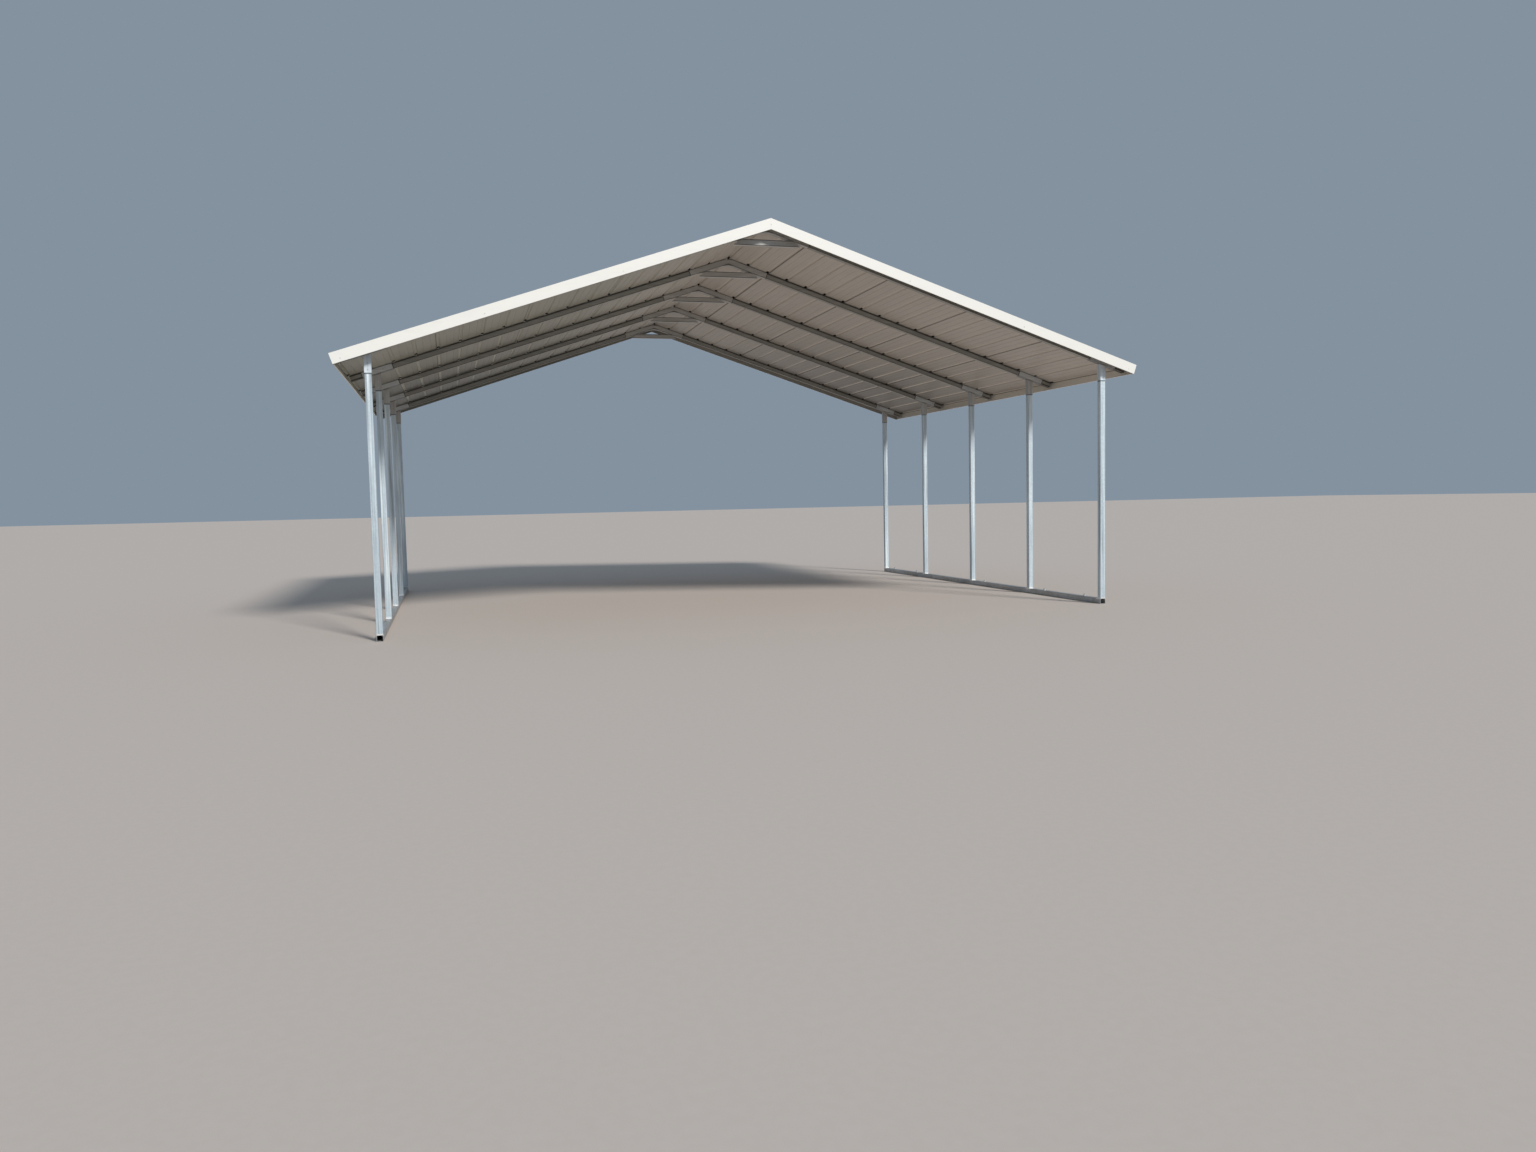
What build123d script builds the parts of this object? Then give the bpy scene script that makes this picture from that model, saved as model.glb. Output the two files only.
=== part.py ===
from build123d import *
import os
from math import atan, cos, hypot, radians, sin, tan

# Driving dimensions in millimetres. X is the width, the front faces -Y and Z is up from the ground.

# Plan, height and pitch
outside_width = 7315.2          # over the outer faces of the posts
frame_length = 6096.0           # over the front and back faces of the end posts
frame_count = 5
leg_height = 2510.0             # ground to the underside of the eave sleeve, on the post's centre line
roof_rise = 4.0                 # rise of the roof for each roof_run of width
roof_run = 12.0

# Square tubes
post_size = 57.15
post_wall = 1.9
rafter_size = 57.15
rafter_wall = 1.9
rail_size = 57.15
rail_wall = 2.3
tube_corner = 2.4               # eased outer corners of the tubes

# Nipples: short tubes on the base rail, inside the posts
nipple_wall = 2.5
nipple_height = 150.0
nipple_fit = 0.5                # clearance all round inside the post

# Eave sleeves: a sleeve along the slope, on a stub that drops over the post
sleeve_wall = 2.8
sleeve_fit = 0.375              # clearance all round between a tube and the sleeve over it
sleeve_corner = 2.8             # eased outer corners of the sleeves
sleeve_inboard = 149.0          # along the slope from the post's centre line to the inboard end
sleeve_outboard = 156.0         # and to the outboard end
stub_drop = 162.0               # underside of the sleeve down to the stub's open end
tail_reach = 274.0              # post's centre line to the cut end of the tail
hidden_end_gap = 12.0           # between a tube's hidden end and the post's centre line
post_top_gap = 2.0              # between a post's top and the sleeve above it

# Peak bows: one bent sleeve with a tie welded under it
bow_arm = 457.2                 # along the slope from the ridge line to the end of an arm
bow_radius = 300.0              # bend of the bow's centre line
rafter_insert = 152.4           # rafter inside the bow's arm
tie_size = 57.15
tie_wall = 1.9
tie_drop = 150.0                # ridge line of the roof plane down to the top of the tie
tie_cut = 39.0                  # angle of the tie's cut ends, degrees from level
tie_weld = 2.0                  # depth of the tie's top corner in the bow's lower wall

# Roof sheets, with ribs from front to back
sheet_thickness = 0.45
rib_pitch = 228.6
rib_height = 12.7
rib_base = 38.1
rib_top = 19.05
minor_height = 2.4
minor_base = 15.0
minor_top = 7.0
minors_per_pitch = 2
sheets_per_side = 4             # they share the other ribs down to the eave
ridge_rib_count = 2             # ribs of the ridge sheet on each side, the last one lapping the next sheet
eave_rib_reach = 279.0          # along the slope from the post's centre line to the eave rib
sheet_overhang = 152.4          # beyond the end posts' faces
edge_lip = 2.0                  # flat beyond the last rib of a sheet
lap_gap = 0.15                  # between two sheets where they lap
seat_gap = 0.1                  # between a piece and the one that carries it

# Trims: folded angles of painted sheet
trim_thickness = 0.45
trim_face = 95.25
trim_leg = 50.8
trim_return = 9.5
trim_joint = 0.4                # between two trims that meet

# Ground anchor holes through the base rails
anchor_hole = 14.3
anchor_offset = 330.0           # from a post's centre line to the hole beside it

# Sizes that follow
slope = atan(roof_rise / roof_run)
sleeve_size = rafter_size + 2 * (sleeve_fit + sleeve_wall)
post_x = (outside_width - post_size) / 2
frame_spacing = (frame_length - post_size) / (frame_count - 1)
frame_y = [(i - (frame_count - 1) / 2) * frame_spacing for i in range(frame_count)]
sleeve_depth = sleeve_size / cos(slope)
ridge_z = leg_height + sleeve_depth + post_x * tan(slope)
axis_drop = sleeve_size / 2
post_u = post_x / cos(slope) + axis_drop * tan(slope)
post_foot = rail_size + seat_gap
sheet_length = frame_length + 2 * sheet_overhang
rib_flank = atan(2 * rib_height / (rib_base - rib_top))
lap_rise = sheet_thickness + lap_gap
eave_rib_u = post_u + eave_rib_reach
eave_rib = round(eave_rib_u / rib_pitch)
ribs_shared = (eave_rib - ridge_rib_count) / sheets_per_side
lap_ribs = [round(ridge_rib_count + ribs_shared * i) for i in range(sheets_per_side + 1)]
sheet_edge = eave_rib_u + rib_base / 2 + lap_rise * tan(rib_flank / 2) + edge_lip
trim_seat = seat_gap + rib_height + lap_rise + sheet_thickness + seat_gap
eave_face = sheet_edge + seat_gap
gable_face = sheet_length / 2 + seat_gap


# Places on the right slope: u runs down the slope from the ridge line, n stands off the roof plane

def slope_point(u, n):
    return (u * cos(slope) + n * sin(slope), ridge_z - u * sin(slope) + n * cos(slope))


def slope_plane(u, n, y):
    x, z = slope_point(u, n)
    return Plane(origin=(x, y, z), x_dir=(0, 1, 0), z_dir=(cos(slope), 0, -sin(slope)))


def slope_block(u_range, n_range, y_range):
    u_size = u_range[1] - u_range[0]
    n_size = n_range[1] - n_range[0]
    y_size = y_range[1] - y_range[0]
    plane = slope_plane(u_range[0], sum(n_range) / 2, sum(y_range) / 2)
    return extrude(plane * Rectangle(y_size, n_size), u_size)


# Tubes

def eased_square(size, corner):
    return chamfer(Rectangle(size, size).vertices(), corner)


def tube_section(size, wall, corner):
    inner = size - 2 * wall
    return eased_square(size, corner) - Rectangle(inner, inner)


def upright_tube(size, wall, corner, x, y, bottom, top):
    plane = Plane(origin=(x, y, bottom))
    return extrude(plane * tube_section(size, wall, corner), top - bottom)


def slope_tube(size, wall, corner, y, u_start, u_end):
    plane = slope_plane(u_start, -axis_drop, y)
    return extrude(plane * tube_section(size, wall, corner), u_end - u_start)


def base_rail():
    plane = Plane(origin=(post_x, frame_length / 2, rail_size / 2), x_dir=(1, 0, 0), z_dir=(0, -1, 0))
    rail = extrude(plane * tube_section(rail_size, rail_wall, tube_corner), frame_length)
    for y in anchor_places():
        rail -= Pos(post_x, y, rail_size / 2) * Cylinder(anchor_hole / 2, 2 * rail_size)
    return rail


def anchor_places():
    middle = frame_count // 2
    front = [frame_y[0] + anchor_offset, frame_y[1] - anchor_offset]
    back = [-y for y in reversed(front)]
    return front + [frame_y[middle] - anchor_offset] + back


def base_nipple(y):
    size = post_size - 2 * (post_wall + nipple_fit)
    return upright_tube(size, nipple_wall, tube_corner, post_x, y, post_foot, post_foot + nipple_height)


def post(y):
    top = leg_height - post_size / 2 * tan(slope) - post_top_gap
    return upright_tube(post_size, post_wall, tube_corner, post_x, y, post_foot, top)


def rafter(y):
    start = bow_arm - rafter_insert
    end = post_u - hidden_end_gap
    return slope_tube(rafter_size, rafter_wall, tube_corner, y, start, end)


def eave_tail(y):
    start = post_u + hidden_end_gap
    end = post_u + tail_reach
    return slope_tube(rafter_size, rafter_wall, tube_corner, y, start, end)


# Welded fittings

def eave_sleeve(y):
    start = post_u - sleeve_inboard
    end = post_u + sleeve_outboard
    arm = slope_tube(sleeve_size, sleeve_wall, sleeve_corner, y, start, end)
    arm_plane = slope_plane(start, -axis_drop, y)
    arm_body = extrude(arm_plane * eased_square(sleeve_size, sleeve_corner), end - start)
    bottom = leg_height - stub_drop
    top = leg_height + sleeve_depth / 2
    stub = upright_tube(sleeve_size, sleeve_wall, sleeve_corner, post_x, y, bottom, top)
    return arm + (stub - arm_body)


def bow_path(y):
    arm_end = slope_point(bow_arm, -axis_drop)
    apex_z = ridge_z - axis_drop / cos(slope)
    corners = [(-arm_end[0], y, arm_end[1]), (0, y, apex_z), (arm_end[0], y, arm_end[1])]
    return FilletPolyline(*corners, radius=bow_radius)


def bow_sweep(section, y):
    path = bow_path(y)
    start = Plane(origin=path @ 0, x_dir=(0, 1, 0), z_dir=path % 0)
    return sweep(start * section, path=path)


def peak_tie(y):
    top_z = ridge_z - tie_drop
    bottom_z = top_z - tie_size
    top_half = (tie_drop - sleeve_depth + tie_weld) / tan(slope)
    bottom_half = top_half + tie_size / tan(radians(tie_cut))
    corners = [(-bottom_half, bottom_z), (bottom_half, bottom_z), (top_half, top_z), (-top_half, top_z)]
    outline = Plane.XZ.offset(-y - tie_size) * Polygon(*corners, align=None)
    plane = Plane(origin=(-bottom_half, y, (top_z + bottom_z) / 2), x_dir=(0, 1, 0), z_dir=(1, 0, 0))
    tube = extrude(plane * tube_section(tie_size, tie_wall, tube_corner), 2 * bottom_half)
    return tube & extrude(outline, 2 * tie_size, dir=(0, -1, 0))


def peak_bow(y):
    inner = sleeve_size - 2 * sleeve_wall
    outside = bow_sweep(eased_square(sleeve_size, sleeve_corner), y)
    inside = bow_sweep(Rectangle(inner, inner), y)
    return (outside - inside) + peak_tie(y)


# Folded sheet: a line of points, thickened to its left, or to its right below zero

def left_normal(start, end):
    across, up = end[0] - start[0], end[1] - start[1]
    length = hypot(across, up)
    return (-up / length, across / length)


def shifted_line(points, distance):
    normals = [left_normal(start, end) for start, end in zip(points, points[1:])]
    shifted = []
    for point, before, after in zip(points, normals[:1] + normals, normals + normals[-1:]):
        reach = distance / (1 + before[0] * after[0] + before[1] * after[1])
        shifted.append(tuple(point[i] + reach * (before[i] + after[i]) for i in (0, 1)))
    return shifted


def folded_section(points, thickness):
    return Polygon(*points, *reversed(shifted_line(points, thickness)), align=None)


# Sheets, drawn as the line of their lower face

def rib_line(u, rise):
    spread = rise * tan(rib_flank / 2)
    return [
        (u - rib_base / 2 - rise / sin(rib_flank), 0),
        (u - rib_top / 2 - spread, rib_height + rise),
        (u + rib_top / 2 + spread, rib_height + rise),
        (u + rib_base / 2 + spread, rise),
    ]


def rib_place(k):
    return eave_rib_u - (eave_rib - k) * rib_pitch if k else 0


def minor_lines(start, end):
    line = []
    for i in range(minors_per_pitch):
        middle = start + (end - start) * (i + 1) / (minors_per_pitch + 1)
        line += [(middle - minor_base / 2, 0), (middle - minor_top / 2, minor_height)]
        line += [(middle + minor_top / 2, minor_height), (middle + minor_base / 2, 0)]
    return line


def sheet_line(first_rib, last_rib):
    line = rib_line(rib_place(first_rib), 0)
    for k in range(first_rib, last_rib):
        rise = lap_rise if k + 1 == last_rib else 0
        line += minor_lines(rib_place(k), rib_place(k + 1)) + rib_line(rib_place(k + 1), rise)
    return line + [(line[-1][0] + edge_lip, lap_rise)]


def long_sheet(points):
    plane = Plane.XZ.offset(-sheet_length / 2)
    return extrude(plane * folded_section(points, sheet_thickness), sheet_length, dir=plane.z_dir)


def side_sheet(number):
    line = sheet_line(lap_ribs[number - 1], lap_ribs[number])
    return long_sheet([slope_point(u, n + seat_gap) for u, n in line])


def ridge_sheet():
    half = sheet_line(0, ridge_rib_count)[2:]
    right = [slope_point(u, n + seat_gap) for u, n in half]
    fold = (0, ridge_z + (rib_height + seat_gap) / cos(slope))
    left = [(-x, z) for x, z in reversed(right)]
    return long_sheet(left + [fold] + right)


# Trims

def trim_section(plane, leg_side):
    leg = (leg_side * trim_leg, 0)
    fold = (leg_side * trim_return, -trim_face)
    return plane * folded_section([leg, (0, 0), (0, -trim_face), fold], -leg_side * trim_thickness)


def gable_trim():
    start = -rib_pitch
    end = eave_face + trim_thickness
    x, z = slope_point(start, trim_seat)
    plane = Plane(origin=(x, -gable_face, z), x_dir=(0, 1, 0), z_dir=(cos(slope), 0, -sin(slope)))
    trim = extrude(trim_section(plane, 1), end - start, dir=plane.z_dir)
    trim = split(trim, bisect_by=Plane.YZ.offset(trim_joint / 2), keep=Keep.TOP)
    low = trim_seat - trim_face
    notch_y = (-gable_face + trim_joint / 4, -gable_face + trim_leg)
    notch_u = (eave_face - trim_joint, end + trim_leg)
    return trim - slope_block(notch_u, (low - trim_leg, low + trim_joint), notch_y)


def eave_trim():
    x, z = slope_point(eave_face, trim_seat)
    plane = Plane(origin=(x, sheet_length / 2, z), x_dir=(cos(slope), 0, -sin(slope)), z_dir=(0, -1, 0))
    trim = extrude(trim_section(plane, -1), sheet_length, dir=plane.z_dir)
    for end in (-1, 1):
        inner = sheet_length / 2 - trim_leg - trim_joint
        y_range = sorted((end * inner, end * sheet_length))
        trim -= slope_block((eave_face - 2 * trim_leg, eave_face), (-2 * trim_face, 2 * trim_face), y_range)
        top = (trim_seat - trim_joint, 2 * trim_face)
        trim -= slope_block((eave_face - 2 * trim_leg, eave_face + trim_leg), top, y_range)
    return trim


# Nodes

def save(name, shapes):
    solids = [solid for shape in shapes for solid in shape.solids()]
    export_step(solids[0] if len(solids) == 1 else Compound(children=solids), f"parts/{name}.step")


def save_pair(name, shapes, number=""):
    save(name.format("right") + number, shapes)
    save(name.format("left") + number, [mirror(shape, about=Plane.YZ) for shape in shapes])


os.makedirs("parts", exist_ok=True)

for i, y in enumerate(frame_y):
    save_pair("post_{}", [post(y)], f"_{i + 1}")
    save_pair("rafter_{}", [rafter(y)], f"_{i + 1}")
    save(f"peak_bow_{i + 1}", [peak_bow(y)])

save_pair("base_rail_{}", [base_rail()])
save_pair("eave_sleeves_{}", [eave_sleeve(y) for y in frame_y])

nipples = [base_nipple(y) for y in frame_y]
save("base_nipples", nipples + [mirror(nipple, about=Plane.YZ) for nipple in nipples])
tails = [eave_tail(y) for y in frame_y]
save("eave_tails", tails + [mirror(tail, about=Plane.YZ) for tail in tails])

for number in range(1, sheets_per_side + 1):
    save_pair("roof_sheet_{}", [side_sheet(number)], f"_{number}")
save("ridge_sheet", [ridge_sheet()])

front_trim = gable_trim()
save_pair("gable_trim_front_{}", [front_trim])
save_pair("gable_trim_back_{}", [mirror(front_trim, about=Plane.XZ)])
save_pair("eave_trim_{}", [eave_trim()])
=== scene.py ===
"""A carport of square galvanized tube with a gable roof of ribbed sheets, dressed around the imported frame."""
from math import atan, cos, pi, sin, tan

import bpy
from mathutils import Matrix, Vector


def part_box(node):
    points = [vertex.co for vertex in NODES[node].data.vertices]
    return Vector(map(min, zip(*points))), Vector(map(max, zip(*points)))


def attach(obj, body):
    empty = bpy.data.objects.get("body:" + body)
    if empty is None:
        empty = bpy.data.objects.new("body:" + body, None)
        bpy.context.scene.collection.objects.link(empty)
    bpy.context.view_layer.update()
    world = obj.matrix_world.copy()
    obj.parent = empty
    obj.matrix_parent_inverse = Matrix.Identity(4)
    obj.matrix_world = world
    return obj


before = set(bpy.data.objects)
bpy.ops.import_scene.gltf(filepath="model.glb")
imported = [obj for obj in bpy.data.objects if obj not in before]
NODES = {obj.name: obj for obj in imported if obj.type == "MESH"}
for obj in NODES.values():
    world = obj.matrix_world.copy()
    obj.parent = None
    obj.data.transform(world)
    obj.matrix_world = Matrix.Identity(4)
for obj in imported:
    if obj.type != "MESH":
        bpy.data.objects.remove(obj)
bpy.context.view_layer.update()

# Sizes in metres, the same as the part's
FRAME_COUNT = 5
SLOPE = atan(4 / 12)
POST_SIZE = 0.05715
SLEEVE_SIZE = 0.0635
RAIL_SIZE = 0.05715
LEG_HEIGHT = 2.510
STUB_DROP = 0.162
SLEEVE_INBOARD = 0.149
SLEEVE_OUTBOARD = 0.156
BOW_ARM = 0.4572
TIE_DROP = 0.150
RIB_PITCH = 0.2286
RIB_HEIGHT = 0.0127
SHEET_THICKNESS = 0.00045
GAPS_UNDER_TRIM = 0.00035
EAVE_RIB = 18
FIRST_LAP_RIB = 2
RIBS_PER_SHEET = 4
EAVE_RIB_REACH = 0.279
ANCHOR_OFFSET = 0.330

# The photograph's camera: image size and focal length in pixels, angles in radians, place in metres
IMAGE_WIDTH = 1536
FOCAL = 1108.2
CAMERA_YAW = 0.2777
CAMERA_PITCH = -0.0693
CAMERA_ROLL = -0.0211
CAMERA_PLACE = Vector((-2.9908, -13.3323, 1.1827))
SENSOR = 36.0
CLIP_END = 400.0


# Places read from the frame

def middle(node):
    low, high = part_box(node)
    return (low + high) / 2


POST_X = middle("post_right_1").x
FRAME_Y = [middle(f"post_right_{i + 1}").y for i in range(FRAME_COUNT)]
FRAME_SPACING = FRAME_Y[1] - FRAME_Y[0]
RIDGE_Z = LEG_HEIGHT + SLEEVE_SIZE / cos(SLOPE) + POST_X * tan(SLOPE)
POST_U = POST_X / cos(SLOPE) + SLEEVE_SIZE / 2 * tan(SLOPE)
TRIM_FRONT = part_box("gable_trim_front_right")[0].y
TRIM_TOP = RIB_HEIGHT + 3 * SHEET_THICKNESS + GAPS_UNDER_TRIM
RIB_SHIFT = POST_U + EAVE_RIB_REACH - EAVE_RIB * RIB_PITCH
SIDES = (1, -1)


def slope_point(side, u, n, y):
    """A place on the roof: u down the slope from the ridge line, n off the roof plane.

    The side is 1 for the right slope and -1 for the left one.
    """
    x = u * cos(SLOPE) + n * sin(SLOPE)
    return Vector((side * x, y, RIDGE_Z - u * sin(SLOPE) + n * cos(SLOPE)))


def roof_normal(side):
    return slope_point(side, 0, 1, 0) - slope_point(side, 0, 0, 0)


def rib_place(rib):
    """How far down the slope a rib's middle lies."""
    return rib * RIB_PITCH + RIB_SHIFT


# Ramps across the part. Where a look starts and where it is full, in metres, then its shares at both
# Where the stub's painted light and shade start, where painted shade runs below the bow's arms, and where the
# stubs' painted light gives way to painted shade
STUB_START = (-SLEEVE_SIZE - 0.001, -SLEEVE_SIZE - 0.004)
BELOW_ARMS = (-SLEEVE_SIZE - 0.002, -SLEEVE_SIZE - 0.006)
BEHIND_FRONT_FRAME = (FRAME_Y[0] + 0.2, FRAME_Y[0] + 0.7)
# Where painted shade darkens the rear bays toward the eaves, and the left slope against the right
REAR_BAYS = (FRAME_Y[0] + 0.7, FRAME_Y[3])
TOWARD_EAVES = (0.8, 3.0)
LEFT_TO_RIGHT = (-1.6, 0.2)
LOW_ON_RAIL = (0.0, 0.20, 1.0, 0.0)
IN_RIB = (0.003, 0.007)
# Where painted shade falls by and over the frames, at the ribs' feet and at the laps
PAINTED_SHADE_BY_FRAME = (0.028, 0.035, 0.6, 0.0)
PAINTED_SHADE_OVER_FRAME = (0.040, 0.060, 1.0, 0.0)
RIB_FOOT_SHADE_LINE = (0.002, 0.007, 0.22, 0.0)
LAP_SHADE_LINE = (0.002, 0.008, 0.85, 0.0)

# Ramps of a face's direction, from its normal's share along an axis, and the least share of faces not down
FACES_DOWN = (-0.85, -0.95)
FACES_AN_END = (0.5, 0.9)
FACES_UP = (-0.05, 0.05)
NOT_DOWN = -0.5

# Ramps of a noise. Where a stain starts and where it is full, then its shares at both
DULL_CLOUDS = (0.42, 0.68, 0.0, 0.6)
PALE_STREAKS = (0.52, 0.70, 0.0, 0.75)
DARK_STREAKS = (0.46, 0.30, 0.0, 0.65)
STUB_STREAKS = (0.35, 0.65)
DUST_PATCHES = (0.35, 0.75, 0.0, 0.8)
SPRAY_PATCHES = (0.30, 0.60, 0.5, 1.6)
ZINC_ROUGHNESS = (0.2, 1.8, 0.34, 0.56)
BACKER_CLOUDS = (0.35, 0.68)
BACKER_RUNS = (0.50, 0.8, 0.0, 0.3)
ROOF_CLOUDS = (0.4, 0.7)
ROOF_RUNS = (0.5, 0.85, 0.0, 0.35)
ROOF_ROUGHNESS = (0.6, 1.4, 0.32, 0.48)
TRIM_DUST = (0.5, 0.8, 0.0, 0.35)
TRIM_BACK_DUST = (0.3, 0.7)
TRIM_ROUGHNESS = (0.5, 1.5, 0.28, 0.42)
METAL_STAINS = (0.45, 0.75, 0.0, 0.7)
METAL_ROUGHNESS = (0.3, 0.8)

# Colours of stains, and tints of painted shade, painted light and painted reflection
WHITE = (1.0, 1.0, 1.0, 1.0)
DUST_COLOUR = (0.30, 0.26, 0.20, 1.0)
ZINC_SPRAY = (0.80, 0.81, 0.80, 1.0)
ROOF_DIRT = (0.62, 0.60, 0.54, 1.0)
# Painted shade on the left slope's inside and painted light on the right one's
LEFT_PAINTED_SHADE = (0.70, 0.75, 0.71, 1.0)
RIGHT_PAINTED_LIGHT = (1.04, 1.04, 1.04, 1.0)
FLAT_PAINTED_SHADE = (0.42, 0.42, 0.41, 1.0)
RIB_PAINTED_REFLECTION = (1.18, 1.20, 1.22, 1.0)

# How a noise is stretched: small numbers draw it out along that axis
UPRIGHT = (6.0, 6.0, 0.35)
LONG_UPRIGHT = (6.0, 6.0, 0.12)
SLOPING = (0.5, 6.0, 6.0)
LEVEL = (6.0, 0.35, 6.0)
SHEET_CLOUD_STRETCH = (1.0, 0.35, 1.0)
SHEET_RUN_STRETCH = (4.0, 0.25, 4.0)
SHEET_WAVE_STRETCH = (2.2, 0.6, 2.2)
TRIM_DUST_STRETCH = (0.6, 0.6, 2.5)

# Brightness of the lines of painted shade, as a share of the coat's own colour
CORNER_SHADE_LINE = 0.10
JOINT_SHADE_LINE = 0.16
BOTTOM_SHADE_LINE = 0.25
BOTTOM_SHADE_STRENGTH = 0.75

# Line of painted shade at a rib's foot, in metres from the rib's middle
RIB_FOOT = 0.021

# How far a line of painted shade or a spray reaches to both sides, in metres
BOTTOM_SHADE_REACH = 0.012
TIE_LINE_REACH = 0.009
SPRAY_HEIGHT = 0.014
SPRAY_REACH = 0.075


# Node materials

def shade(colour, factor):
    return tuple(min(1.0, c * factor) for c in colour[:3]) + (1.0,)


class Material:
    """A node material with its principled shader, and short calls for the nodes used here."""

    def __init__(self, name):
        self.material = bpy.data.materials.new(name)
        self.material.use_nodes = True
        self.tree = self.material.node_tree
        self.shader = self.tree.nodes["Principled BSDF"]
        self.place = self.add("ShaderNodeTexCoord").outputs["Object"]

    def add(self, kind, **values):
        node = self.tree.nodes.new(kind)
        for name, value in values.items():
            setattr(node, name, value)
        return node

    def feed(self, socket, value):
        if isinstance(value, (int, float, tuple)):
            socket.default_value = value
        else:
            self.tree.links.new(value, socket)

    def stretch(self, scale):
        node = self.add("ShaderNodeMapping")
        node.inputs["Scale"].default_value = scale
        self.feed(node.inputs["Vector"], self.place)
        return node.outputs["Vector"]

    def noise(self, scale, detail, vector=None):
        node = self.add("ShaderNodeTexNoise")
        node.inputs["Scale"].default_value = scale
        node.inputs["Detail"].default_value = detail
        self.feed(node.inputs["Vector"], vector or self.place)
        return node.outputs["Fac"]

    def cells(self, scale):
        node = self.add("ShaderNodeTexVoronoi")
        node.inputs["Scale"].default_value = scale
        self.feed(node.inputs["Vector"], self.place)
        return self.part(node.outputs["Color"], "X")

    def spread(self, value, low, high, to_low=0.0, to_high=1.0):
        node = self.add("ShaderNodeMapRange")
        self.feed(node.inputs["Value"], value)
        for name, number in (("From Min", low), ("From Max", high), ("To Min", to_low), ("To Max", to_high)):
            node.inputs[name].default_value = number
        return node.outputs["Result"]

    def maths(self, operation, *values):
        node = self.add("ShaderNodeMath", operation=operation)
        for socket, value in zip(node.inputs, values):
            self.feed(socket, value)
        return node.outputs["Value"]

    def times(self, first, second):
        return self.maths("MULTIPLY", first, second)

    def mix(self, share, first, second):
        node = self.add("ShaderNodeMix", data_type="RGBA")
        self.feed(node.inputs["Factor"], share)
        self.feed(node.inputs[6], first)
        self.feed(node.inputs[7], second)
        return node.outputs[2]

    def tint(self, colour, factor):
        node = self.add("ShaderNodeMix", data_type="RGBA", blend_type="MULTIPLY")
        self.feed(node.inputs["Factor"], 1.0)
        self.feed(node.inputs[6], colour)
        self.feed(node.inputs[7], factor)
        return node.outputs[2]

    def paint_left_shade(self, colour):
        """Painted shade: the left slope's inner coat is a little greyer and darker than the right one's, which
        painted light makes a little paler.
        """
        across = self.spread(self.along("X"), *LEFT_TO_RIGHT)
        return self.tint(colour, self.mix(across, LEFT_PAINTED_SHADE, RIGHT_PAINTED_LIGHT))

    def part(self, vector, axis):
        node = self.add("ShaderNodeSeparateXYZ")
        self.feed(node.inputs["Vector"], vector)
        return node.outputs[axis]

    def along(self, axis):
        return self.part(self.place, axis)

    def facing(self, axis):
        return self.part(self.add("ShaderNodeNewGeometry").outputs["True Normal"], axis)

    def inside(self):
        """1 on faces that look in at the carport's middle, but not down."""
        outward = self.add("ShaderNodeVectorMath", operation="DOT_PRODUCT")
        self.feed(outward.inputs[0], self.add("ShaderNodeNewGeometry").outputs["True Normal"])
        self.feed(outward.inputs[1], self.place)
        inward = self.maths("LESS_THAN", outward.outputs["Value"], 0.0)
        return self.times(inward, self.maths("GREATER_THAN", self.facing("Z"), NOT_DOWN))

    def slope_places(self):
        """u down the slope and n off the roof plane, on either side of the ridge."""
        across = self.maths("ABSOLUTE", self.along("X"))
        drop = self.maths("SUBTRACT", RIDGE_Z, self.along("Z"))
        u = self.maths("MULTIPLY_ADD", across, cos(SLOPE), self.times(drop, sin(SLOPE)))
        n = self.maths("MULTIPLY_ADD", across, sin(SLOPE), self.times(drop, -cos(SLOPE)))
        return u, n

    def frame_rows(self):
        """Distance along the carport from the nearest frame's middle."""
        behind_first = self.maths("SUBTRACT", self.along("Y"), FRAME_Y[0])
        return self.maths("PINGPONG", behind_first, FRAME_SPACING / 2)

    def from_nearest(self, value, place, pitch):
        """Distance from the nearest of the places that repeat with a pitch."""
        return self.maths("PINGPONG", self.maths("SUBTRACT", value, place), pitch / 2)

    def near(self, value, place, reach):
        """1 within 0.4 of the reach of a place, falling to 0 at the reach on both sides."""
        distance = self.maths("ABSOLUTE", self.maths("SUBTRACT", value, place))
        return self.spread(distance, 0.4 * reach, reach, 1.0, 0.0)

    def bump(self, height, strength, distance):
        node = self.add("ShaderNodeBump")
        node.inputs["Strength"].default_value = strength
        node.inputs["Distance"].default_value = distance
        self.feed(node.inputs["Height"], height)
        self.feed(self.shader.inputs["Normal"], node.outputs["Normal"])

    def finish(self, colour, roughness, metallic=0.0):
        self.feed(self.shader.inputs["Base Color"], colour)
        self.feed(self.shader.inputs["Roughness"], roughness)
        self.shader.inputs["Metallic"].default_value = metallic
        return self.material


def add_stub_light_and_shade(m, colour, n, lit_and_shaded):
    """The stub below a sleeve, with upright streaks: a pale coat of painted light on the front frame and a
    darker one of painted shade on those behind.
    """
    upright = m.noise(scale=9.0, detail=3.0, vector=m.stretch(UPRIGHT))
    behind = m.spread(m.along("Y"), *BEHIND_FRONT_FRAME)
    streaks = m.mix(m.spread(upright, *STUB_STREAKS), shade(WHITE, 0.80), WHITE)
    coat = m.tint(m.mix(behind, shade(lit_and_shaded[0], 1.0), shade(lit_and_shaded[1], 1.0)), streaks)
    return m.mix(m.spread(n, *STUB_START), colour, coat)


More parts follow.
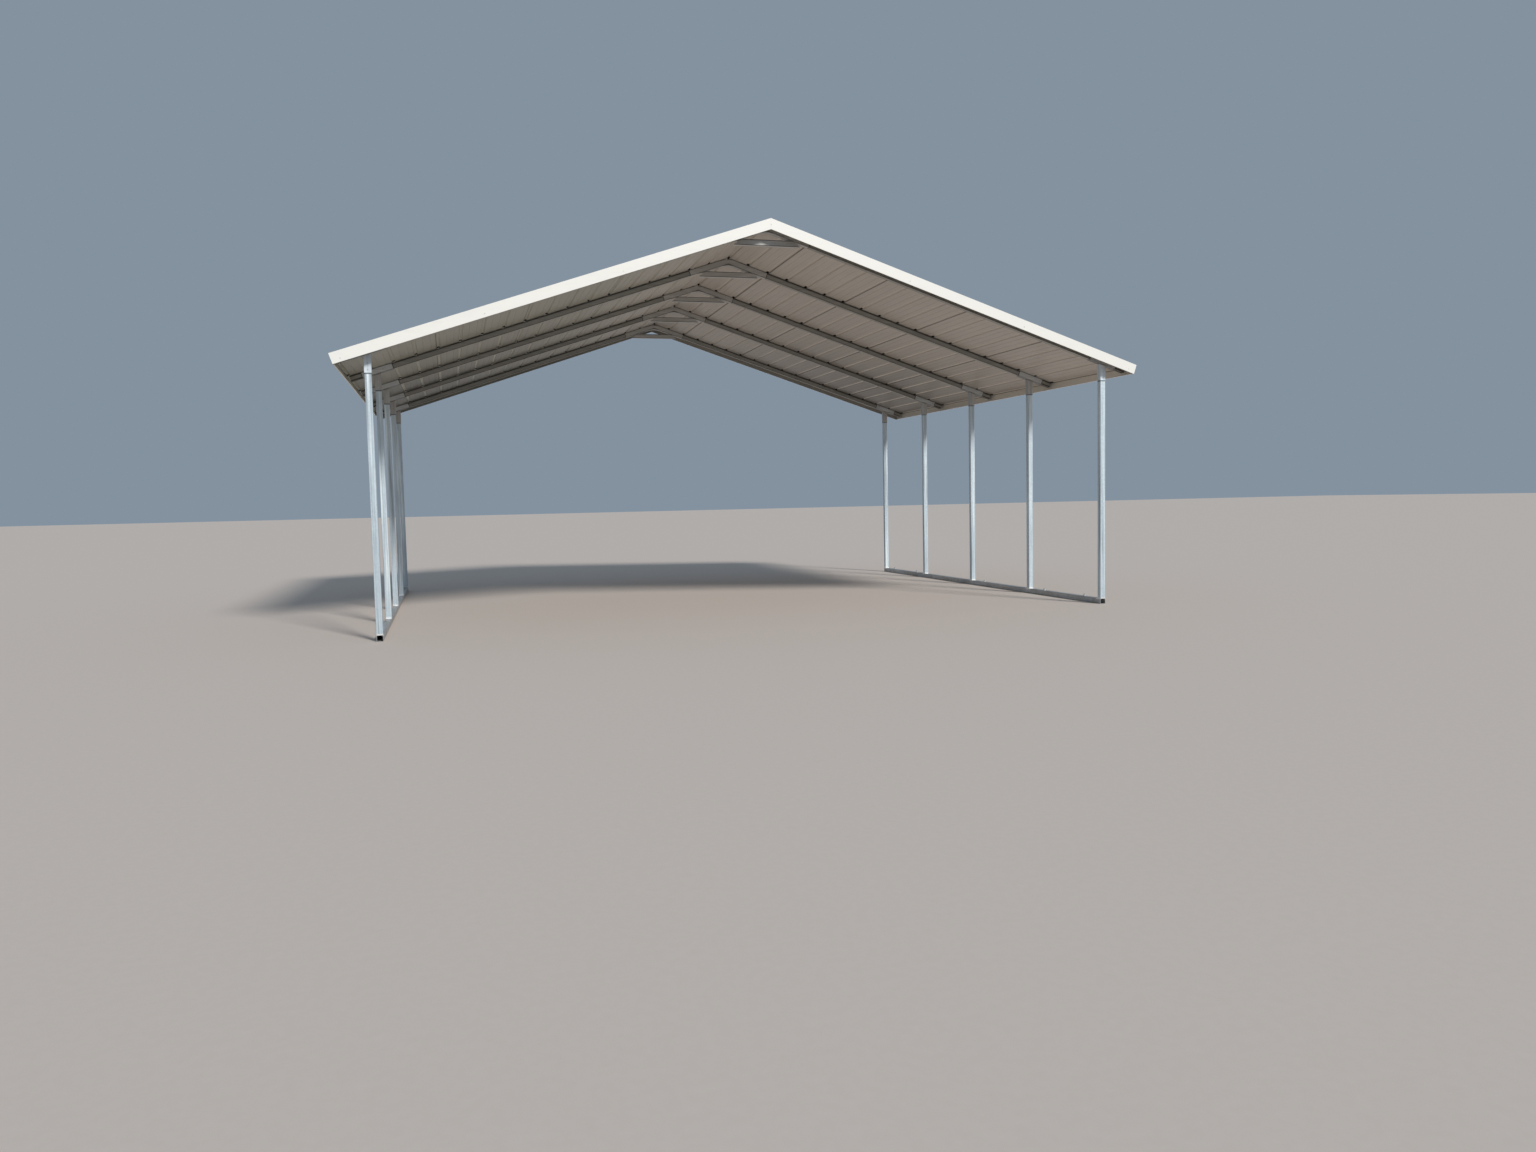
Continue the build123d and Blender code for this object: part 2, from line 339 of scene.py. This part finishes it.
def add_corner_shade(m, colour, base, n, edges, tie_edges, painted_underside_light):
    """The underside of a sloping tube in painted light and shade, and lines of painted shade along its edges,
    its corners and those of its tie.
    """
    # The underside's share paints light where above 1 and shade where below 1
    on_bottom = m.spread(m.facing("Z"), *FACES_DOWN)
    colour = m.mix(on_bottom, colour, shade(base, painted_underside_light))
    # A line of painted shade along the underside's edges
    bottom_shade = m.times(on_bottom, m.near(m.frame_rows(), POST_SIZE / 2, BOTTOM_SHADE_REACH))
    colour = m.mix(m.times(bottom_shade, BOTTOM_SHADE_STRENGTH), colour, shade(base, BOTTOM_SHADE_LINE))
    # Lines of painted shade along the corners
    on_side = m.spread(m.maths("ABSOLUTE", m.facing("Y")), *FACES_AN_END)
    for place, reach, strength in edges:
        line = m.times(m.near(n, place, reach), m.times(on_side, strength))
        colour = m.mix(line, colour, shade(base, CORNER_SHADE_LINE))
    # Lines of painted shade where the tie shades the bow's arms
    below_arms = m.times(on_side, m.spread(n, *BELOW_ARMS))
    for place in tie_edges:
        line = m.times(m.near(m.along("Z"), place, TIE_LINE_REACH), below_arms)
        colour = m.mix(line, colour, shade(base, CORNER_SHADE_LINE))
    return colour


def add_dust(m, colour):
    """Brown dust low on a rail."""
    low = m.spread(m.along("Z"), *LOW_ON_RAIL)
    dust = m.times(low, m.spread(m.noise(scale=14.0, detail=5.0), *DUST_PATCHES))
    return m.mix(dust, colour, DUST_COLOUR)


def add_zinc_spray(m, colour):
    """Bright zinc spray where a post stands on its rail."""
    at_rail_top = m.near(m.along("Z"), RAIL_SIZE, SPRAY_HEIGHT)
    at_foot = m.times(at_rail_top, m.near(m.frame_rows(), 0.0, SPRAY_REACH))
    spray = m.times(at_foot, m.spread(m.noise(scale=45.0, detail=3.0), *SPRAY_PATCHES))
    return m.mix(spray, colour, ZINC_SPRAY)


def galvanized(name, base, grain, joints=(), edges=(), tie_edges=(), stub=None, dusty=False, feet=False,
               streaks=(1.20, 0.78), painted_underside_light=1.35):
    """Zinc coat: fine spangle, duller clouds, pale and dark streaks along the tube and dark lines of painted
    shade at its joints.

    Each of the joints is an axis, a place, a reach and a strength, and each of the edges the same without the
    axis. The streaks and the underside's painted light and shade are given as shares of the base colour.
    """
    m = Material(name)
    spangle = m.cells(scale=120.0)
    cloud = m.noise(scale=2.3, detail=4.0)
    streak = m.noise(scale=9.0, detail=3.0, vector=m.stretch(grain))
    colour = m.mix(spangle, shade(base, 0.95), shade(base, 1.05))
    colour = m.mix(m.spread(cloud, *DULL_CLOUDS), colour, shade(base, 0.84))
    colour = m.mix(m.spread(streak, *PALE_STREAKS), colour, shade(base, streaks[0]))
    colour = m.mix(m.spread(streak, *DARK_STREAKS), colour, shade(base, streaks[1]))
    u, n = m.slope_places()
    # Painted light on the front frame's stubs, painted shade on those behind
    if stub:
        colour = add_stub_light_and_shade(m, colour, n, stub)
    # Painted light and shade on the underside, and lines of painted shade along the corners
    if edges:
        colour = add_corner_shade(m, colour, base, n, edges, tie_edges, painted_underside_light)
    places = {"u": u, "n": n, "z": m.along("Z")}
    # Lines of painted shade at the joints
    for axis, place, reach, strength in joints:
        line = m.times(m.near(places[axis], place, reach), strength)
        colour = m.mix(line, colour, shade(base, JOINT_SHADE_LINE))
    if dusty:
        colour = add_dust(m, colour)
    if feet:
        colour = add_zinc_spray(m, colour)
    rough = m.spread(m.maths("ADD", spangle, m.times(cloud, 1.4)), *ZINC_ROUGHNESS)
    m.bump(m.maths("ADD", m.cells(scale=240.0), m.times(streak, 2.0)), strength=0.05, distance=0.0006)
    return m.finish(colour, rough, metallic=0.5)


def sheet_paint(name, top, under):
    """Ribbed sheet: bright coat on top and warm backer coat below.

    Below, painted shade darkens it by and over the frames, at the ribs' feet, at the laps and on the left
    slope, and painted light lightens the ribs' insides. Toward the rear bays' eaves painted shade darkens its
    flats and a painted reflection keeps its ribs pale.
    """
    m = Material(name)
    u, n = m.slope_places()
    cloud = m.noise(scale=0.9, detail=4.0, vector=m.stretch(SHEET_CLOUD_STRETCH))
    run = m.noise(scale=5.0, detail=3.0, vector=m.stretch(SHEET_RUN_STRETCH))
    speck = m.noise(scale=60.0, detail=3.0)
    below = m.mix(m.spread(cloud, *BACKER_CLOUDS), shade(under, 0.93), shade(under, 1.05))
    below = m.mix(m.spread(run, *BACKER_RUNS), below, shade(under, 0.84))
    rows = m.frame_rows()
    in_rib = m.spread(n, *IN_RIB)
    # Painted light inside the ribs' hollows, against their shade
    below = m.mix(in_rib, below, shade(under, 1.20))
    # Painted shade on the sheets beside the frames
    below = m.mix(m.spread(rows, *PAINTED_SHADE_BY_FRAME), below, shade(under, 0.3))
    # Painted shade in the ribs' hollows over the frames
    shade_over_frame = m.times(in_rib, m.spread(rows, *PAINTED_SHADE_OVER_FRAME))
    below = m.mix(shade_over_frame, below, shade(under, 0.015))
    # A line of painted shade at each rib's foot
    rib_foot = m.from_nearest(u, RIB_SHIFT + RIB_FOOT, RIB_PITCH)
    below = m.mix(m.spread(rib_foot, *RIB_FOOT_SHADE_LINE), below, shade(under, 0.35))
    # A line of painted shade at the laps
    lap = m.from_nearest(u, rib_place(FIRST_LAP_RIB) + RIB_FOOT, RIBS_PER_SHEET * RIB_PITCH)
    below = m.mix(m.spread(lap, *LAP_SHADE_LINE), below, shade(under, 0.15))
    # Painted shade on the left slope, painted light on the right
    below = m.paint_left_shade(below)
    # Painted shade on the flats toward the rear bays' eaves, where a painted reflection keeps the ribs pale
    rear = m.spread(m.along("Y"), *REAR_BAYS)
    outer = m.spread(m.maths("ABSOLUTE", m.along("X")), *TOWARD_EAVES)
    rear_painted_light = m.mix(in_rib, FLAT_PAINTED_SHADE, RIB_PAINTED_REFLECTION)
    below = m.tint(below, m.mix(m.times(rear, outer), WHITE, rear_painted_light))
    above = m.mix(m.spread(cloud, *ROOF_CLOUDS), shade(top, 1.0), shade(top, 0.93))
    above = m.mix(m.spread(run, *ROOF_RUNS), above, ROOF_DIRT)
    colour = m.mix(m.spread(m.facing("Z"), *FACES_UP), below, above)
    rough = m.spread(m.maths("ADD", cloud, speck), *ROOF_ROUGHNESS)
    rough = m.maths("MAXIMUM", rough, m.times(shade_over_frame, 0.95))
    wave = m.noise(scale=1.7, detail=1.0, vector=m.stretch(SHEET_WAVE_STRETCH))
    m.bump(m.maths("ADD", m.times(wave, 6.0), speck), strength=0.10, distance=0.0012)
    return m.finish(colour, rough)


def trim_paint(name, base, back):
    """Folded trim: satin pale coat with faint dust and soft waviness, and a backer coat on its inside, with
    painted shade on the left slope's.
    """
    m = Material(name)
    dust = m.noise(scale=7.0, detail=4.0, vector=m.stretch(TRIM_DUST_STRETCH))
    speck = m.noise(scale=90.0, detail=2.0)
    colour = m.mix(m.spread(dust, *TRIM_DUST), shade(base, 1.0), shade(base, 0.86))
    backing = m.mix(m.spread(dust, *TRIM_BACK_DUST), shade(back, 1.0), shade(back, 0.9))
    # The backer coat on the inside, with painted shade on the left slope
    colour = m.mix(m.inside(), colour, m.paint_left_shade(backing))
    rough = m.spread(m.maths("ADD", dust, speck), *TRIM_ROUGHNESS)
    wave = m.noise(scale=1.3, detail=1.0)
    m.bump(m.maths("ADD", m.times(wave, 5.0), speck), strength=0.08, distance=0.001)
    return m.finish(colour, rough)


def worn_metal(name, base, metallic, smooth, rough):
    """Small pieces: fine grain with darker stained patches, between smooth and rough."""
    m = Material(name)
    stain = m.noise(scale=40.0, detail=4.0)
    colour = m.mix(m.spread(stain, *METAL_STAINS), shade(base, 1.0), shade(base, 0.55))
    m.bump(m.noise(scale=160.0, detail=2.0), strength=0.1, distance=0.0004)
    return m.finish(colour, m.spread(stain, *METAL_ROUGHNESS, smooth, rough), metallic)


# Where lines of painted shade run: axis, place, reach and strength at the joints, and the same along the tubes'
# corners
STUB_END = LEG_HEIGHT - STUB_DROP
TUBE_TOP = (POST_SIZE - SLEEVE_SIZE) / 2
TUBE_BOTTOM = TUBE_TOP - POST_SIZE
TIE_TOP = RIDGE_Z - TIE_DROP
JOINT_REACH = 0.011
JOINT_STRENGTH = 0.9
STUB_SHADE_LINE = [("z", STUB_END, 0.014, 0.95)]
RAFTER_JOINTS = [
    ("u", BOW_ARM, JOINT_REACH, JOINT_STRENGTH),
    ("u", POST_U - SLEEVE_INBOARD, JOINT_REACH, JOINT_STRENGTH),
]
TAIL_JOINTS = [("u", POST_U + SLEEVE_OUTBOARD, JOINT_REACH, JOINT_STRENGTH)]
RAFTER_EDGES = [(TUBE_TOP, 0.016, 0.95), (TUBE_BOTTOM, 0.009, 0.8)]
TAIL_EDGES = [(TUBE_TOP, 0.016, 0.95), (TUBE_BOTTOM, 0.020, 1.0)]
SLEEVE_EDGES = [(0.0, 0.010, 0.9), (-SLEEVE_SIZE, 0.009, 0.8)]
TIE_EDGES = (TIE_TOP, TIE_TOP - POST_SIZE)

# Base colours. The posts, rafters and tails are one zinc: the posts' pale blue coat holds painted sunlight and
# sky reflection, the rafters' and tails' dark ones painted shade. A stub's coat is painted light on the front
# frame and painted shade on the frames behind it
POST_LIT_COAT = (0.575, 0.67, 0.73)
RAFTER_SHADED_COAT = (0.30, 0.295, 0.27)
TAIL_SHADED_COAT = (0.36, 0.35, 0.31)
BOW_COAT = (0.47, 0.465, 0.44)
SLEEVE_COAT = (0.57, 0.59, 0.595)
STUB_LIT_AND_SHADED_COATS = [(0.74, 0.82, 0.88), (0.49, 0.49, 0.48)]
RAIL_COAT = (0.45, 0.475, 0.50)
ROOF_COAT = (0.80, 0.79, 0.74)
BACKER_COAT = (0.517, 0.472, 0.415)
TRIM_COAT = (0.84, 0.83, 0.78)
# The gable trims' backer coat is darkened with painted shade
GABLE_TRIM_SHADED_BACK = (0.33, 0.31, 0.275)
EAVE_TRIM_BACK = (0.80, 0.75, 0.66)
BOLT_ZINC = (0.55, 0.56, 0.56)
SCREW_PAINT = (0.74, 0.73, 0.69)
BLACK_RUBBER = (0.035, 0.035, 0.035)
WELD_METAL = (0.34, 0.31, 0.28)

# The posts' strong pale and dark streaks are partly grain along the tube, partly painted reflection
POST = galvanized("galvanized_post", POST_LIT_COAT, LONG_UPRIGHT, STUB_SHADE_LINE, feet=True, streaks=(1.60, 0.40))
# Painted light on the rafters' and bows' undersides, painted shade on the tails' and sleeves'
RAFTER = galvanized("galvanized_rafter", RAFTER_SHADED_COAT, SLOPING, RAFTER_JOINTS, RAFTER_EDGES)
TAIL = galvanized("galvanized_tail", TAIL_SHADED_COAT, SLOPING, TAIL_JOINTS, TAIL_EDGES, painted_underside_light=0.12)
BOW = galvanized("galvanized_bow", BOW_COAT, SLOPING, edges=SLEEVE_EDGES, tie_edges=TIE_EDGES)
SLEEVE = galvanized("galvanized_sleeve", SLEEVE_COAT, SLOPING, edges=SLEEVE_EDGES, stub=STUB_LIT_AND_SHADED_COATS,
                    painted_underside_light=0.35)
RAIL = galvanized("galvanized_rail", RAIL_COAT, LEVEL, dusty=True, feet=True)
SHEET = sheet_paint("ribbed_sheet", ROOF_COAT, BACKER_COAT)
GABLE_TRIM = trim_paint("white_gable_trim", TRIM_COAT, GABLE_TRIM_SHADED_BACK)
EAVE_TRIM = trim_paint("white_eave_trim", TRIM_COAT, EAVE_TRIM_BACK)
ZINC_BOLT = worn_metal("zinc_bolt", BOLT_ZINC, metallic=0.8, smooth=0.3, rough=0.5)
WHITE_SCREW = worn_metal("painted_screw", SCREW_PAINT, metallic=0.0, smooth=0.35, rough=0.5)
WASHER = worn_metal("washer_rubber", BLACK_RUBBER, metallic=0.0, smooth=0.6, rough=0.8)
WELD = worn_metal("weld_bead", WELD_METAL, metallic=0.6, smooth=0.4, rough=0.65)

FINISHES = {
    "roof_sheet": SHEET,
    "ridge_sheet": SHEET,
    "gable_trim": GABLE_TRIM,
    "eave_trim": EAVE_TRIM,
    "base_rail": RAIL,
    "base_nipples": SLEEVE,
    "post": POST,
    "rafter": RAFTER,
    "eave_tails": TAIL,
    "eave_sleeves": SLEEVE,
    "peak_bow": BOW,
}
CORNER_ROUND = 0.0012
CORNER_ANGLE = 0.6


def round_corners(node):
    edge = node.modifiers.new("round_corners", "BEVEL")
    edge.width = CORNER_ROUND
    edge.segments = 2
    edge.limit_method = "ANGLE"
    edge.angle_limit = CORNER_ANGLE


for name, node in NODES.items():
    finish = next(material for start, material in FINISHES.items() if name.startswith(start))
    node.data.materials.clear()
    node.data.materials.append(finish)
    if finish not in (SHEET, GABLE_TRIM, EAVE_TRIM):
        round_corners(node)


# Fasteners and weld beads, true to size, each kind joined in one piece

# Beads: radius and step in metres, size of their ends and ripples as shares of the radius
BEAD_RADIUS = 0.0030
BEAD_STEP = 0.0045
BEAD_END = 0.55
BEAD_RIPPLE = 0.16
HEXAGON = 6


def circle(radius, height, count):
    angles = [2 * pi * k / count for k in range(count)]
    return [Vector((radius * cos(angle), radius * sin(angle), height)) for angle in angles]


class Piece:
    """A mesh that gathers many small solids."""

    def __init__(self):
        self.points = []
        self.faces = []

    def loft(self, rings):
        """A closed solid through rings of points, all of the same count."""
        start = len(self.points)
        count = len(rings[0])
        for ring in rings:
            self.points += ring
        for r in range(len(rings) - 1):
            for k in range(count):
                low = start + r * count
                after = (k + 1) % count
                self.faces.append((low + k, low + after, low + count + after, low + count + k))
        self.faces.append(tuple(start + k for k in reversed(range(count))))
        self.faces.append(tuple(start + (len(rings) - 1) * count + k for k in range(count)))

    def turned(self, place, axis, profile, count):
        """Radius and height pairs turned about an axis at a place, with a count of sides."""
        turn = axis.to_track_quat("Z", "Y").to_matrix()
        rings = []
        for radius, height in profile:
            rings.append([place + turn @ point for point in circle(radius, height, count)])
        self.loft(rings)

    def bead(self, start, end):
        """A weld bead of small ripples from start to end."""
        along = end - start
        steps = max(4, round(along.length / BEAD_STEP))
        turn = along.to_track_quat("Z", "Y").to_matrix()
        rings = []
        for i in range(steps + 1):
            size = BEAD_RADIUS * (BEAD_END if i in (0, steps) else 1.0 + BEAD_RIPPLE * (i % 2))
            middle_point = start + along * i / steps
            rings.append([middle_point + turn @ point for point in circle(size, 0, HEXAGON)])
        self.loft(rings)

    def build(self, name, material):
        mesh = bpy.data.meshes.new(name)
        mesh.from_pydata([tuple(point) for point in self.points], [], self.faces)
        mesh.materials.append(material)
        mesh.shade_flat()
        piece = bpy.data.objects.new(name, mesh)
        bpy.context.scene.collection.objects.link(piece)
        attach(piece, "root")


# Profiles as pairs of radius and height, and the number of sides of the round ones
SCREW_FLANGE = [(0.0056, 0.0), (0.0056, 0.0007), (0.0050, 0.0013)]
SCREW_HEAD = [(0.0045, 0.0010), (0.0045, 0.0050), (0.0038, 0.0056)]
LOW_HEAD = [(0.0062, 0.0), (0.0062, 0.0009), (0.0048, 0.0019), (0.0022, 0.0023)]
WASHER_RUBBER = [(0.0068, 0.0), (0.0072, 0.0010), (0.0068, 0.0020)]
WASHER_CUP = [(0.0072, 0.0020), (0.0072, 0.0028), (0.0060, 0.0034)]
ANCHOR_WASHER = [(0.0170, 0.0), (0.0172, 0.0024), (0.0165, 0.0030)]
ANCHOR_NUT = [(0.0104, 0.0028), (0.0110, 0.0040), (0.0110, 0.0130), (0.0102, 0.0142)]
ANCHOR_STUD = [(0.0063, 0.0020 - RAIL_SIZE), (0.0063, 0.0240), (0.0052, 0.0256)]
SCREW_SIDES = 12
LOW_HEAD_SIDES = 14
STUD_SIDES = 16
ANCHOR_WASHER_SIDES = 24

# Places of the fasteners in metres
SINK = 0.0002
ROOF_SCREW_BESIDE_RIB = 0.030
SHEET_TOP = 0.0005
HEAD_OVER_WASHER = 0.0033
TRIM_FACE_SCREWS = [(1.491, -0.052), (2.790, -0.052), (4.060, -0.052)]
PEAK_SCREW = (0.012, -0.042)
TRIM_LEG_INSET = 0.026
EAVE_SCREW_COUNT = 8
BOW_ARM_SCREWS = (0.115, 0.035)
SLEEVE_SCREWS = (0.030, 0.095)
STUB_SCREWS = (0.028, 0.085)
FOOT_SCREWS = (0.045, 0.105)
TIE_BEAD_LIFT = 0.001


def add_screw(piece, place, axis, lift=0.0):
    base = place + axis * (lift - SINK)
    piece.turned(base, axis, SCREW_FLANGE, SCREW_SIDES)
    piece.turned(base, axis, SCREW_HEAD, HEXAGON)


def add_roof_screws():
    """Screws with rubber washers in the flats beside the ribs, over each frame."""
    screws = Piece()
    washers = Piece()
    for side in SIDES:
        up = roof_normal(side)
        for rib in range(1, EAVE_RIB + 1):
            beside = -ROOF_SCREW_BESIDE_RIB if rib == EAVE_RIB else ROOF_SCREW_BESIDE_RIB
            for y in FRAME_Y:
                place = slope_point(side, rib_place(rib) + beside, SHEET_TOP, y)
                washers.turned(place, up, WASHER_RUBBER, SCREW_SIDES)
                screws.turned(place, up, WASHER_CUP, SCREW_SIDES)
                add_screw(screws, place, up, HEAD_OVER_WASHER)
    screws.build("roof_screws", WHITE_SCREW)
    washers.build("roof_washers", WASHER)


def add_trim_screws():
    """Low heads on the gable trims' faces, hexagon heads on the tops of all trims."""
    screws = Piece()
    front = Vector((0, -1, 0))
    for side in SIDES:
        up = roof_normal(side)
        for end in (1, -1):
            places = list(TRIM_FACE_SCREWS)
            if side != end:
                places.append(PEAK_SCREW)
            for u, drop in places:
                place = slope_point(side, u, drop, 0)
                place.y = end * TRIM_FRONT
                screws.turned(place - front * end * SINK, front * end, LOW_HEAD, LOW_HEAD_SIDES)
            for rib in range(1, EAVE_RIB, 2):
                y = end * (TRIM_FRONT + TRIM_LEG_INSET)
                add_screw(screws, slope_point(side, rib_place(rib), TRIM_TOP, y), up)
        for k in range(EAVE_SCREW_COUNT):
            y = FRAME_Y[0] + (k + 0.5) * (FRAME_Y[-1] - FRAME_Y[0]) / EAVE_SCREW_COUNT
            add_screw(screws, slope_point(side, rib_place(EAVE_RIB), TRIM_TOP, y), up)
    screws.build("trim_screws", WHITE_SCREW)


def add_frame_screws():
    """Screws through the bows' arms, the eave sleeves, their stubs and the posts' feet."""
    screws = Piece()
    half_sleeve = SLEEVE_SIZE / 2
    half_post = POST_SIZE / 2
    arm_places = [BOW_ARM - inset for inset in BOW_ARM_SCREWS]
    arm_places += [POST_U - SLEEVE_INBOARD + inset for inset in SLEEVE_SCREWS]
    arm_places += [POST_U + SLEEVE_OUTBOARD - inset for inset in reversed(SLEEVE_SCREWS)]
    for side in SIDES:
        for y in FRAME_Y:
            for face in (1, -1):
                axis = Vector((0, face, 0))
                for u in arm_places:
                    add_screw(screws, slope_point(side, u, -half_sleeve, y + face * half_sleeve), axis)
                for rise in STUB_SCREWS:
                    place = Vector((side * POST_X, y + face * half_sleeve, STUB_END + rise))
                    add_screw(screws, place, axis)
                across = Vector((face, 0, 0))
                for rise in FOOT_SCREWS:
                    place = Vector((side * POST_X + face * half_post, y, RAIL_SIZE + rise))
                    add_screw(screws, place, across)
    screws.build("frame_screws", ZINC_BOLT)


def add_anchor_bolts():
    """A washer, a nut and a stud in each of the rails' holes."""
    bolts = Piece()
    up = Vector((0, 0, 1))
    front = [FRAME_Y[0] + ANCHOR_OFFSET, FRAME_Y[1] - ANCHOR_OFFSET]
    places = front + [FRAME_Y[FRAME_COUNT // 2] - ANCHOR_OFFSET] + [-y for y in front]
    for side in SIDES:
        for y in places:
            foot = Vector((side * POST_X, y, RAIL_SIZE - SINK))
            bolts.turned(foot, up, ANCHOR_WASHER, ANCHOR_WASHER_SIDES)
            bolts.turned(foot, up, ANCHOR_NUT, HEXAGON)
            bolts.turned(foot, up, ANCHOR_STUD, STUD_SIDES)
    bolts.build("anchor_bolts", ZINC_BOLT)


def add_welds():
    """Beads round each stub under its eave sleeve, and where each tie meets the bow's arms."""
    beads = Piece()
    reach = SLEEVE_SIZE / 2
    for y in FRAME_Y:
        for side in SIDES:
            corners = []
            for across, along in ((-1, -1), (1, -1), (1, 1), (-1, 1)):
                x = POST_X + across * reach
                z = LEG_HEIGHT - (x - POST_X) * tan(SLOPE)
                corners.append(Vector((side * x, y + along * reach, z)))
            for start, end in zip(corners, corners[1:] + corners[:1]):
                beads.bead(start, end)
            tie_x = (TIE_DROP - SLEEVE_SIZE / cos(SLOPE)) / tan(SLOPE)
            corner = Vector((side * tie_x, y, TIE_TOP + TIE_BEAD_LIFT))
            half = Vector((0, POST_SIZE / 2, 0))
            beads.bead(corner - half, corner + half)
    beads.build("weld_beads", WELD)


add_roof_screws()
add_trim_screws()
add_frame_screws()
add_anchor_bolts()
add_welds()


# Camera

def add_camera():
    level_share = cos(CAMERA_PITCH)
    forward = Vector((sin(CAMERA_YAW) * level_share, cos(CAMERA_YAW) * level_share, sin(CAMERA_PITCH)))
    level = Vector((cos(CAMERA_YAW), -sin(CAMERA_YAW), 0.0))
    up = level.cross(forward)
    right = level * cos(CAMERA_ROLL) + up * sin(CAMERA_ROLL)
    top = -level * sin(CAMERA_ROLL) + up * cos(CAMERA_ROLL)
    turn = Matrix((right, top, -forward)).transposed()
    data = bpy.data.cameras.new("camera")
    data.sensor_fit = "HORIZONTAL"
    data.sensor_width = SENSOR
    data.lens = FOCAL * SENSOR / IMAGE_WIDTH
    data.clip_end = CLIP_END
    camera = bpy.data.objects.new("camera", data)
    bpy.context.scene.collection.objects.link(camera)
    camera.matrix_world = Matrix.Translation(CAMERA_PLACE) @ turn.to_4x4()
    bpy.context.scene.camera = camera


# Floor and light
FLOOR_REACH = 120.0
FLOOR_COLOURS = ((0.615, 0.54, 0.485, 1.0), (0.63, 0.555, 0.50, 1.0))
FLOOR_CLOUDS = (0.3, 0.7)
KEY_STRENGTH = 2.8
KEY_ANGLE = 0.18
KEY_COLOUR = (1.0, 0.975, 0.94)
KEY_DIRECTION = Vector((-0.30, 0.80, -0.54))
SKY_COLOUR = (0.66, 0.82, 1.0, 1.0)
SKY_STRENGTH = 0.35


def add_floor():
    mesh = bpy.data.meshes.new("floor")
    corners = [(x * FLOOR_REACH, y * FLOOR_REACH, 0) for x, y in ((-1, -1), (1, -1), (1, 1), (-1, 1))]
    mesh.from_pydata(corners, [], [(0, 1, 2, 3)])
    floor = bpy.data.objects.new("floor", mesh)
    bpy.context.scene.collection.objects.link(floor)
    m = Material("pale_floor")
    grey = m.mix(m.spread(m.noise(scale=30.0, detail=3.0), *FLOOR_CLOUDS), *FLOOR_COLOURS)
    mesh.materials.append(m.finish(grey, roughness=0.9))


def add_lights():
    sun = bpy.data.lights.new("key", "SUN")
    sun.energy = KEY_STRENGTH
    sun.angle = KEY_ANGLE
    sun.color = KEY_COLOUR
    key = bpy.data.objects.new("key", sun)
    bpy.context.scene.collection.objects.link(key)
    key.rotation_euler = KEY_DIRECTION.to_track_quat("-Z", "Y").to_euler()
    world = bpy.data.worlds.new("soft_sky")
    world.use_nodes = True
    background = world.node_tree.nodes["Background"]
    background.inputs["Color"].default_value = SKY_COLOUR
    background.inputs["Strength"].default_value = SKY_STRENGTH
    bpy.context.scene.world = world


add_camera()
add_floor()
add_lights()
bpy.context.scene.view_settings.view_transform = "Standard"
